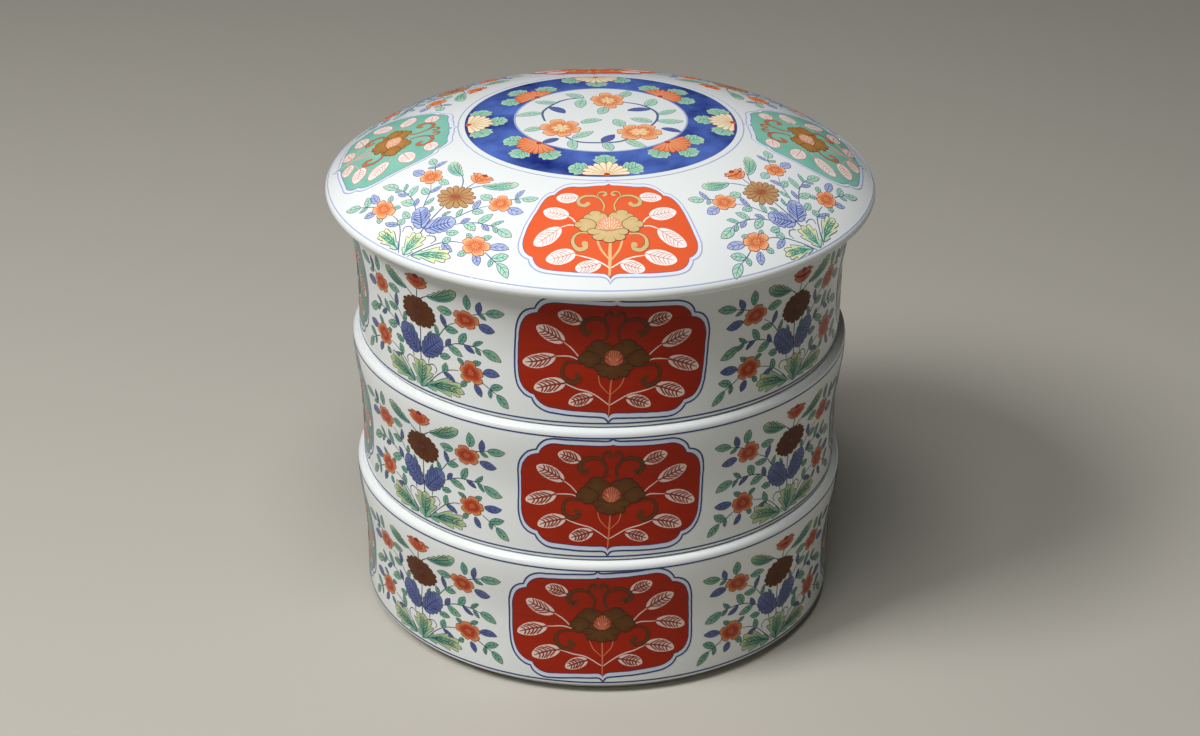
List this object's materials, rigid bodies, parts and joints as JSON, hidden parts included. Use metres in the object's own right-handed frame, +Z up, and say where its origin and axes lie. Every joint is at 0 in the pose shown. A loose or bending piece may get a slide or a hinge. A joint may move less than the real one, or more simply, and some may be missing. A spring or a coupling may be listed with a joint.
{
  "type": "stacking food box",
  "caption": "Round porcelain stacking food box: nesting boxes with flared rims under a domed lid that overhangs them, each lifting straight off.",
  "frame": {"origin": "on the axis of the stack, at the face of the lowest foot ring", "axes": "+Z up along the axis that every piece is turned about; -Y towards the front panels"},
  "size_m": [0.1794, 0.1794, 0.1697],
  "materials": {
    "lower_box_porcelain": "clear gloss glaze over white porcelain, painted on the outside",
    "middle_box_porcelain": "clear gloss glaze over white porcelain, painted on the outside",
    "upper_box_porcelain": "clear gloss glaze over white porcelain, painted on the outside",
    "lid_porcelain": "clear gloss glaze over white porcelain, painted on top"
  },
  "bodies": {
    "lower_box": {"lower_box": "lower_box_porcelain"},
    "middle_box": {"middle_box": "middle_box_porcelain"},
    "upper_box": {"upper_box": "upper_box_porcelain"},
    "lid": {"lid": "lid_porcelain"}
  },
  "joints": [
    {"name": "lift_middle_box", "type": "slide", "parent": "lower_box", "child": "middle_box", "axis": [0, 0, 1], "range_m": [0, 0.08]},
    {"name": "lift_upper_box", "type": "slide", "parent": "middle_box", "child": "upper_box", "axis": [0, 0, 1], "range_m": [0, 0.08]},
    {"name": "lift_lid", "type": "slide", "parent": "upper_box", "child": "lid", "axis": [0, 0, 1], "range_m": [0, 0.08]}
  ]
}
